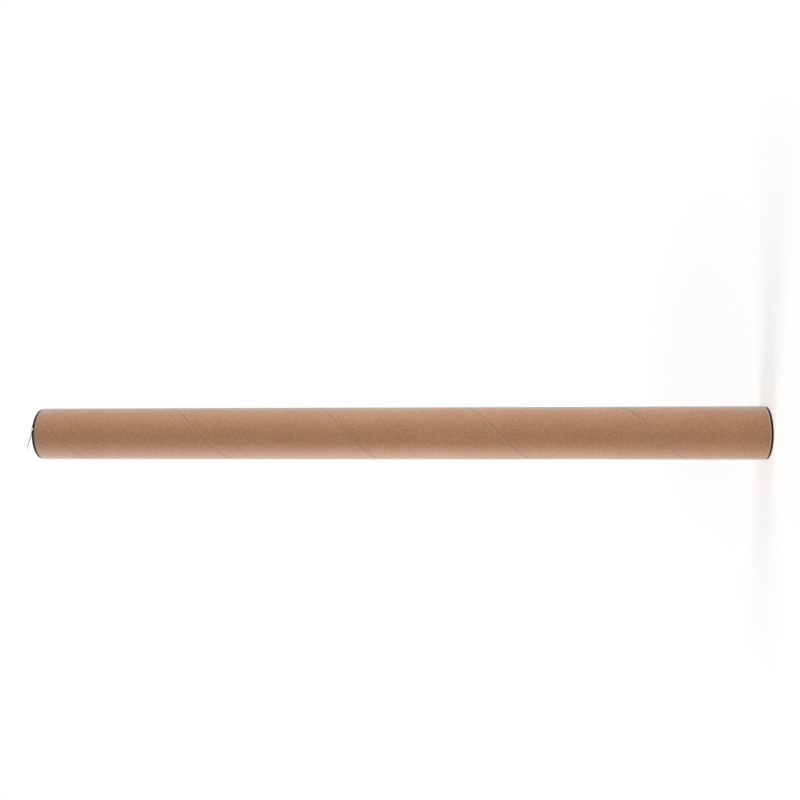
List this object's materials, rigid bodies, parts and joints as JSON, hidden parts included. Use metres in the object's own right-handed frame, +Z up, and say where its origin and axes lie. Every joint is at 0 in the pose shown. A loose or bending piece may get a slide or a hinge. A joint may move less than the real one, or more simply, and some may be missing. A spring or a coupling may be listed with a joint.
{
  "type": "kraft shipping tube",
  "caption": "Long slender kraft paperboard tube, spiral wound, with a black moulded push-in plug closing each end, for posting rolled papers.",
  "frame": {"origin": "middle of the bottom plug's outer face, on which the tube stands", "axes": "+Z up the tube's axis, from the bottom plug to the top plug; -Y towards the side that the picture shows, so the picture's left end is the top"},
  "size_m": [0.0548, 0.0548, 0.7719],
  "materials": {
    "kraft_paperboard": "matte",
    "black_plastic": "satin"
  },
  "bodies": {
    "bottom_plug": {"bottom_cap": "black_plastic"},
    "tube": {"kraft_tube": "kraft_paperboard"},
    "top_plug": {"top_cap": "black_plastic"}
  },
  "joints": [
    {"name": "tube_off_bottom_plug", "type": "slide", "parent": "bottom_plug", "child": "tube", "axis": [0, 0, 1], "range_m": [0, 0.08]},
    {"name": "top_plug_off_tube", "type": "slide", "parent": "tube", "child": "top_plug", "axis": [0, 0, 1], "range_m": [0, 0.08]}
  ]
}
